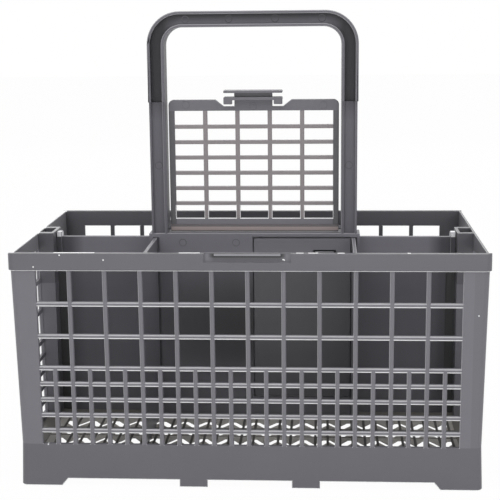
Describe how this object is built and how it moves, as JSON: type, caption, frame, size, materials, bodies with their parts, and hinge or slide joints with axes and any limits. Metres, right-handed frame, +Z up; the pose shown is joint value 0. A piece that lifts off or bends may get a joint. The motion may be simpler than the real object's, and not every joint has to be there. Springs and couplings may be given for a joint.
{
  "type": "dishwasher cutlery basket",
  "caption": "Rectangular grid-walled cutlery basket for a dishwasher, with a tall loop handle on a middle divider and a hinged grid lid that folds down over the front compartment.",
  "frame": {"origin": "middle of the basket on the plane of the soles of its feet", "axes": "+X along the length to the right, +Y from the front wall with the lid catch to the back, +Z up"},
  "size_m": [0.2408, 0.135, 0.2407],
  "materials": {
    "tub_plastic": "satin moulded",
    "handle_plastic": "satin moulded",
    "lid_plastic": "satin moulded",
    "panel_plastic": "satin moulded"
  },
  "bodies": {
    "tub": {"basket": "tub_plastic", "handle": "handle_plastic", "wall_panel": "panel_plastic"},
    "flap": {"lid": "lid_plastic"}
  },
  "joints": [
    {"name": "lid_hinge", "type": "hinge", "parent": "tub", "child": "flap", "pos_m": [0, 0, 0.1243], "axis": [1, 0, 0], "range_deg": [0, 90]}
  ]
}
